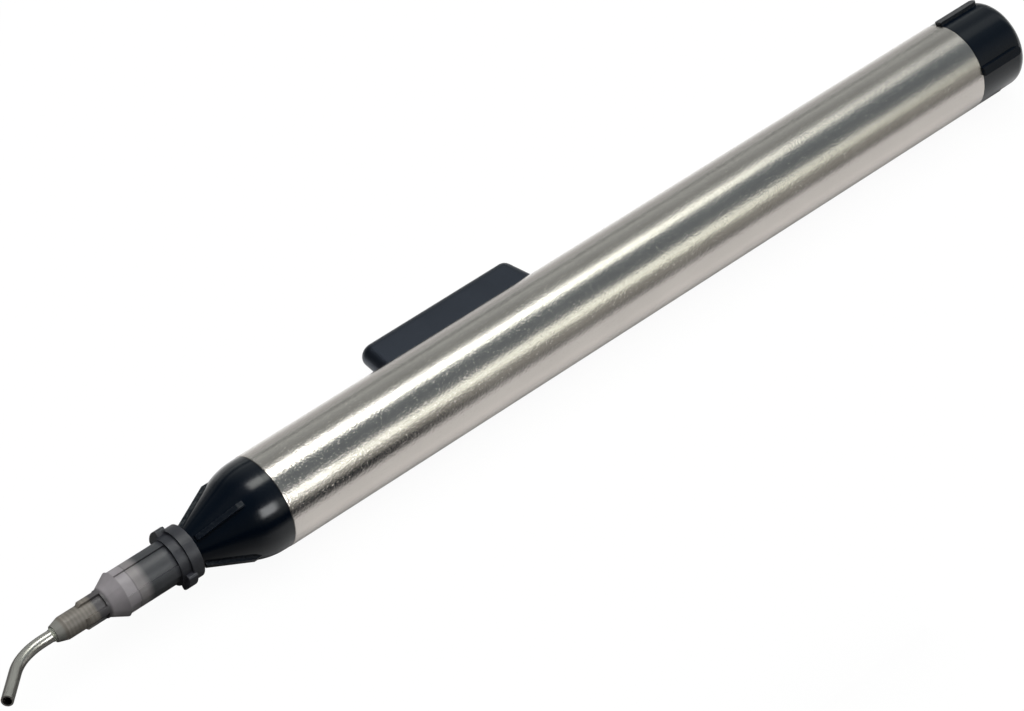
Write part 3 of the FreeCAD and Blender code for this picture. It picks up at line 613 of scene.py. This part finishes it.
def extruded_silicone(finishes):
    """Milky extruded silicone, with draw lines along the hose, 0.45 mm apart, and a dusty, soft skin.

    The dust is much finer than its patches, which are drawn as coarse as they need to show.
    """
    material, tree, place = new_material("extruded_silicone")
    here = place.outputs["Object"]
    drawn = add_node(tree, "ShaderNodeVectorMath", {"operation": "MULTIPLY"}, {
        0: here, 1: (DRAW_STRETCH, 1.0, 1.0)})
    lines = add_node(tree, "ShaderNodeTexNoise", inputs={
        "Vector": drawn.outputs["Vector"], "Scale": 2.2 / MM, "Detail": 2.0, "Roughness": 0.5})
    dust = add_node(tree, "ShaderNodeTexNoise", inputs={
        "Vector": here, "Scale": 1.5 / MM, "Detail": 3.0, "Roughness": 0.6})
    relief = add_node(tree, "ShaderNodeBump", inputs={
        "Strength": 1.0, "Distance": 0.01 * MM, "Height": lines.outputs["Fac"]})
    tone = add_node(tree, "ShaderNodeMix", {"data_type": "RGBA"}, {
        0: dust.outputs["Fac"],
        COLOUR_A: finishes.silicone[:], COLOUR_B: toned(finishes.silicone, 0.85)})
    rough = add_node(tree, "ShaderNodeMapRange", inputs={
        "Value": dust.outputs["Fac"], "From Min": NOISE_LOW, "From Max": NOISE_HIGH,
        "To Min": 0.42, "To Max": 0.55})
    rubber = add_node(tree, "ShaderNodeBsdfPrincipled", inputs={
        "Base Color": tone.outputs[COLOUR_OUT], "Roughness": rough.outputs["Result"], "IOR": 1.41,
        "Subsurface Weight": 0.3, "Subsurface Scale": 1.0 * MM, "Normal": relief.outputs["Normal"]})
    finish_material(tree, rubber)
    return material


def table_material(stage):
    """White sheet on a grey table.

    The camera sees the whole floor as paper white, with the pen's shadow on it. The polished pieces see
    painted tones instead: painted shade under the tube and the tip, a painted brighter pool near the pen,
    and a grey table past the sheet's edge in front of it, painted only into their reflections.
    """
    material = bpy.data.materials.new("white_sheet")
    material.use_nodes = True
    tree = material.node_tree
    tree.nodes.clear()
    place = add_node(tree, "ShaderNodeTexCoord")
    parts = add_node(tree, "ShaderNodeSeparateXYZ", inputs={"Vector": place.outputs["Object"]})
    # Past the sheet's edge lies a painted dark reflection, the grey table.
    askew = add_node(tree, "ShaderNodeMath", {"operation": "MULTIPLY_ADD"}, {
        0: parts.outputs["X"], 1: SHEET_SLANT, 2: parts.outputs["Y"]})
    sheet = add_node(tree, "ShaderNodeMapRange", {"interpolation_type": "SMOOTHSTEP"}, {
        "Value": askew.outputs["Value"], "From Min": SHEET_EDGE - SHEET_BLUR,
        "From Max": SHEET_EDGE + SHEET_BLUR, "To Min": PAINTED_TABLE_TONE, "To Max": 1.0})
    reach = PAINTED_SHEET_TONES[-1][0] - PAINTED_SHEET_TONES[0][0]
    share = add_node(tree, "ShaderNodeMapRange", inputs={
        "Value": parts.outputs["Y"], "From Min": PAINTED_SHEET_TONES[0][0] * MM, "From Max": PAINTED_SHEET_TONES[-1][0] * MM,
        "To Min": 0.0, "To Max": 1.0})
    # Painted shadow under the tube and painted brighter light beside it, across the pen.
    across = add_node(tree, "ShaderNodeValToRGB", inputs={"Fac": share.outputs["Result"]})
    fill_ramp(across, [((place_y - PAINTED_SHEET_TONES[0][0]) / reach, [tone] * 3) for place_y, tone in PAINTED_SHEET_TONES])
    # Painted shade under the tip.
    fore = add_node(tree, "ShaderNodeMapRange", {"interpolation_type": "SMOOTHSTEP"}, {
        "Value": parts.outputs["X"], "From Min": FORE_START, "From Max": FORE_END,
        "To Min": FORE_TONE, "To Max": 1.0})
    near = add_node(tree, "ShaderNodeMath", {"operation": "MULTIPLY"}, {
        0: sheet.outputs["Result"], 1: across.outputs["Color"]})
    # The painted tone that only the polished pieces see.
    painted_tone = add_node(tree, "ShaderNodeMath", {"operation": "MULTIPLY"}, {
        0: near.outputs["Value"], 1: fore.outputs["Result"]})

    rays = add_node(tree, "ShaderNodeLightPath")
    seen = add_node(tree, "ShaderNodeMath", {"operation": "MAXIMUM"}, {
        0: rays.outputs["Is Camera Ray"], 1: rays.outputs["Is Transmission Ray"]})
    shade = add_node(tree, "ShaderNodeMath", {"operation": "MAXIMUM"}, {
        0: painted_tone.outputs["Value"], 1: seen.outputs["Value"]})
    paper = add_node(tree, "ShaderNodeVectorMath", {"operation": "SCALE"}, {
        0: stage.floor_colour[:3], "Scale": shade.outputs["Value"]})
    matt = add_node(tree, "ShaderNodeBsdfDiffuse", inputs={"Color": paper.outputs["Vector"]})
    white = add_node(tree, "ShaderNodeEmission", inputs={"Color": linear("FFFFFF"), "Strength": 1.0})
    own_white = add_node(tree, "ShaderNodeMath", {"operation": "MULTIPLY"}, {
        0: seen.outputs["Value"], 1: WHITE_SHARE})
    mixed = add_node(tree, "ShaderNodeMixShader", inputs={
        0: own_white.outputs["Value"], 1: matt.outputs["BSDF"], 2: white.outputs["Emission"]})
    add_node(tree, "ShaderNodeOutputMaterial", inputs={"Surface": mixed.outputs["Shader"]})
    return material


def card_material():
    """Matt blue-black card."""
    material, tree, place = new_material("dark_card")
    fibres = add_node(tree, "ShaderNodeTexNoise", inputs={
        "Vector": place.outputs["Object"], "Scale": 0.9 / MM})
    tone = add_node(tree, "ShaderNodeMix", {"data_type": "RGBA"}, {
        0: fibres.outputs["Fac"], COLOUR_A: linear("121721"), COLOUR_B: linear("1A202C")})
    matt = add_node(tree, "ShaderNodeBsdfDiffuse", inputs={"Color": tone.outputs[COLOUR_OUT]})
    finish_material(tree, matt)
    return material


def room_world(stage):
    """Room of a light tent: its walls and ceiling differ in brightness with the turn about the pen's axis.

    It is open and dark past the pen's tip, so the nose mirrors little light.
    """
    room = bpy.data.worlds.new("room")
    room.use_nodes = True
    tree = room.node_tree
    tree.nodes.clear()
    place = add_node(tree, "ShaderNodeTexCoord")
    parts = add_node(tree, "ShaderNodeSeparateXYZ", inputs={"Vector": place.outputs["Generated"]})
    turn = add_node(tree, "ShaderNodeMath", {"operation": "ARCTAN2"}, {
        0: parts.outputs["Y"], 1: parts.outputs["Z"]})
    share = add_node(tree, "ShaderNodeMapRange", inputs={
        "Value": turn.outputs["Value"], "From Min": -math.pi, "From Max": math.pi,
        "To Min": 0.0, "To Max": 1.0})
    walls = add_node(tree, "ShaderNodeValToRGB", inputs={"Fac": share.outputs["Result"]})
    fill_ramp(walls, [(0.5 + degrees / 360.0, [level * c for c in linear(tint)[:3]])
                      for degrees, level, tint in ROOM_WALLS])
    gloom = add_node(tree, "ShaderNodeMapRange", inputs={
        "Value": parts.outputs["X"], "From Min": GLOOM_SLOPES[0], "From Max": GLOOM_SLOPES[1],
        "To Min": GLOOM_LEVEL * stage.room_level, "To Max": stage.room_level})
    room_light = add_node(tree, "ShaderNodeBackground", inputs={
        "Color": walls.outputs["Color"], "Strength": gloom.outputs["Result"]})
    white = add_node(tree, "ShaderNodeBackground", inputs={"Color": linear("FFFFFF"), "Strength": 1.0})
    rays = add_node(tree, "ShaderNodeLightPath")
    mixed = add_node(tree, "ShaderNodeMixShader", inputs={
        0: rays.outputs["Is Camera Ray"], 1: room_light.outputs["Background"],
        2: white.outputs["Background"]})
    add_node(tree, "ShaderNodeOutputWorld", inputs={"Surface": mixed.outputs["Shader"]})
    return room


class PEN_OT_stage(bpy.types.Operator):
    """Lay the white table, hang the softboxes over it and set up the camera"""

    bl_idname = "pen.stage"
    bl_label = "Stage"

    def execute(self, context):
        stage = context.scene.pen_stage
        deselect()
        bpy.ops.mesh.primitive_plane_add(size=stage.floor_size, location=(0.0, 0.0, CAD_BOX[0].z))
        floor = context.object
        floor.name = "table"
        settle()
        floor.data.materials.append(table_material(stage))

        context.scene.world = room_world(stage)

        # The card darkens the tube's near side next to the nose.
        low, high = CARD_CORNERS
        deselect()
        bpy.ops.mesh.primitive_plane_add(size=1.0, location=(low + high) / 2,
                                         rotation=(math.pi / 2, 0.0, 0.0))
        card = context.object
        card.name = "dark_card"
        card.scale = (high.x - low.x, high.z - low.z, 1.0)
        settle()
        card.visible_camera = False
        card.visible_shadow = False
        card.data.materials.append(card_material())

        for box in SOFTBOXES:
            turn = math.radians(box["turn"])
            place = ((box["start"] + box["end"]) / 2, box["distance"] * math.sin(turn),
                     box["distance"] * math.cos(turn))
            deselect()
            bpy.ops.object.light_add(type="AREA", location=place, rotation=(-turn, 0.0, 0.0))
            lamp = context.object
            lamp.name = box["name"]
            lamp.visible_camera = False
            lamp.visible_diffuse = False
            lamp.data.shape = "RECTANGLE"
            lamp.data.size = box["end"] - box["start"]
            lamp.data.size_y = box["width"]
            lamp.data.color = linear(box["tint"])[:3]
            area = lamp.data.size * lamp.data.size_y
            lamp.data.energy = box["level"] * stage.light_level * area * math.pi

        # The softboxes make the highlights. The fill light, from all round, lifts the matt colours.
        deselect()
        bpy.ops.object.light_add(type="AREA", location=FILL_PLACE)
        fill = context.object
        fill.name = "fill_light"
        fill.visible_camera = False
        fill.visible_glossy = False
        fill.data.shape = "SQUARE"
        fill.data.size = FILL_SIZE
        fill.data.energy = stage.fill_level * fill.data.size ** 2 * math.pi

        deselect()
        bpy.ops.object.camera_add(location=CAMERA_PLACE)
        camera = context.object
        camera.name = "camera"
        back = CAMERA_RIGHT.cross(CAMERA_UP)
        turned = Matrix((CAMERA_RIGHT, CAMERA_UP, back)).transposed()
        camera.rotation_euler = turned.to_euler()
        camera.data.sensor_fit = "HORIZONTAL"
        camera.data.sensor_width = 36.0
        camera.data.lens = CAMERA_LENS
        camera.data.clip_start = 0.01
        camera.data.clip_end = 50.0
        context.scene.camera = camera
        context.scene.view_settings.view_transform = "Standard"
        return {"FINISHED"}


class PEN_OT_steel(bpy.types.Operator):
    """Give the tube its ground steel and the needle its drawn steel"""

    bl_idname = "pen.steel"
    bl_label = "Steel"

    def execute(self, context):
        finishes = context.scene.pen_finishes
        dress(("barrel",), ground_stainless(finishes))
        dress(("needle_tube",), drawn_stainless(finishes))
        return {"FINISHED"}


class PEN_OT_black_mouldings(bpy.types.Operator):
    """Give nose, cap and button their black plastic"""

    bl_idname = "pen.black_mouldings"
    bl_label = "Black mouldings"

    def execute(self, context):
        finishes = context.scene.pen_finishes
        dress(("nose_cone", "rear_cap"), gloss_abs(finishes))
        dress(("button",), satin_abs(finishes))
        return {"FINISHED"}


class PEN_OT_hub(bpy.types.Operator):
    """Give the hub its smoky plastic and the adhesive its clear resin"""

    bl_idname = "pen.hub"
    bl_label = "Hub"

    def execute(self, context):
        finishes = context.scene.pen_finishes
        dress(("needle_hub",), smoky_polypropylene(finishes))
        dress(("needle_adhesive",), cured_adhesive(finishes))
        return {"FINISHED"}


class PEN_OT_inner_mouldings(bpy.types.Operator):
    """Give the cradle and the plug their uncoloured plastic"""

    bl_idname = "pen.inner_mouldings"
    bl_label = "Inner mouldings"

    def execute(self, context):
        dress(("hose_cradle", "hose_plug"), natural_abs(context.scene.pen_finishes))
        return {"FINISHED"}


class PEN_OT_hose(bpy.types.Operator):
    """Model the soft hose: two ends held round, and between them the run that the button squeezes"""

    bl_idname = "pen.hose"
    bl_label = "Hose"

    def execute(self, context):
        hose = context.scene.pen_hose
        silicone = extruded_silicone(context.scene.pen_finishes)
        low = hose.start
        high = hose.start + hose.length
        runs = (
            ("hose_front_end", low, low + hose.held_end),
            ("hose_run", low + hose.held_end, high - hose.held_end),
            ("hose_rear_end", high - hose.held_end, high),
        )
        for name, start, end in runs:
            deselect()
            bpy.ops.mesh.primitive_cylinder_add(
                vertices=HOSE_SIDES, radius=hose.diameter / 2, depth=end - start, end_fill_type="NOTHING",
                location=((start + end) / 2, 0.0, 0.0), rotation=(0.0, math.pi / 2, 0.0))
            piece = context.object
            piece.name = name
            settle()
            bpy.ops.object.mode_set(mode="EDIT")
            bpy.ops.mesh.select_all(action="SELECT")
            # One cut adds a ring of points halfway along.
            bpy.ops.mesh.subdivide(number_cuts=1)
            bpy.ops.mesh.normals_make_consistent(inside=False)
            bpy.ops.object.mode_set(mode="OBJECT")
            wall = piece.modifiers.new("wall", "SOLIDIFY")
            wall.thickness = hose.wall
            wall.offset = -1.0
            bpy.ops.object.modifier_apply(modifier="wall")
            edge = piece.modifiers.new("cut_edge", "BEVEL")
            edge.width = CUT_EDGE
            edge.segments = 2
            edge.limit_method = "ANGLE"
            bpy.ops.object.modifier_apply(modifier="cut_edge")
            bpy.ops.object.shade_smooth_by_angle(angle=SMOOTH_ANGLE)
            piece.data.materials.append(silicone)
            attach(piece, "handle")
            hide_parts("suction_hose")
            if name == "hose_run":
                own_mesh(piece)
        return {"FINISHED"}


OPERATORS = (
    PEN_OT_stage,
    PEN_OT_steel,
    PEN_OT_black_mouldings,
    PEN_OT_hub,
    PEN_OT_inner_mouldings,
    PEN_OT_hose,
)


class PEN_PT_sidebar(bpy.types.Panel):
    """Sizes, finishes and steps of the pen"""

    bl_idname = "PEN_PT_sidebar"
    bl_label = "Vacuum pick up pen"
    bl_space_type = "VIEW_3D"
    bl_region_type = "UI"
    bl_category = "Pen"

    def draw(self, context):
        column = self.layout.column()
        for group in (context.scene.pen_finishes, context.scene.pen_hose, context.scene.pen_stage):
            for name in group.__annotations__:
                column.prop(group, name)
        for step in OPERATORS:
            column.operator(step.bl_idname)


CLASSES = (PenFinishes, PenHose, PenStage, *OPERATORS, PEN_PT_sidebar)


def register():
    for item in CLASSES:
        bpy.utils.register_class(item)
    bpy.types.Scene.pen_finishes = bpy.props.PointerProperty(type=PenFinishes)
    bpy.types.Scene.pen_hose = bpy.props.PointerProperty(type=PenHose)
    bpy.types.Scene.pen_stage = bpy.props.PointerProperty(type=PenStage)


def unregister():
    del bpy.types.Scene.pen_stage
    del bpy.types.Scene.pen_hose
    del bpy.types.Scene.pen_finishes
    for item in reversed(CLASSES):
        bpy.utils.unregister_class(item)


def main():
    register()
    bpy.ops.pen.stage()
    bpy.ops.pen.steel()
    bpy.ops.pen.black_mouldings()
    bpy.ops.pen.hub()
    bpy.ops.pen.inner_mouldings()
    bpy.ops.pen.hose()
    bpy.context.view_layer.update()


if __name__ == "__main__":
    main()
